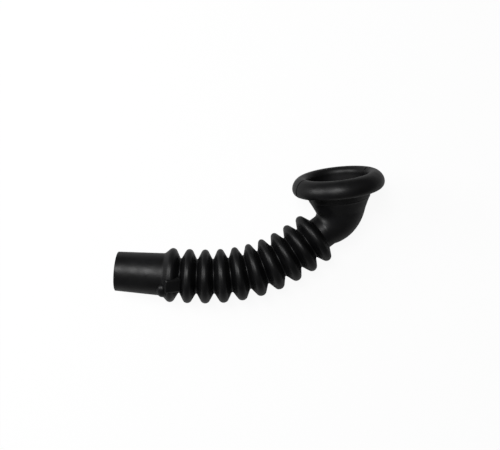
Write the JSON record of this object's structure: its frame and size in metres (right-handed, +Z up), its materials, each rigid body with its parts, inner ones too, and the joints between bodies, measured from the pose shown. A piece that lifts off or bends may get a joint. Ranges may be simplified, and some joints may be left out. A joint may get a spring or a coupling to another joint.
{
  "type": "dispenser hose",
  "caption": "Corrugated rubber hose with a plain cuff at one end and, past a flared elbow, a wide beaded collar at the other.",
  "frame": {"origin": "middle of the bounding box at its lowest point, on the table that the hose lies on", "axes": "+X the way the hose runs on from the cuff, +Y the side it bends to, +Z up as it lies"},
  "size_m": [0.2092, 0.1246, 0.07],
  "materials": {
    "rubber": "satin, as it comes from the mould"
  },
  "bodies": {
    "root": {"dispenser_hose": "rubber"}
  },
  "joints": []
}
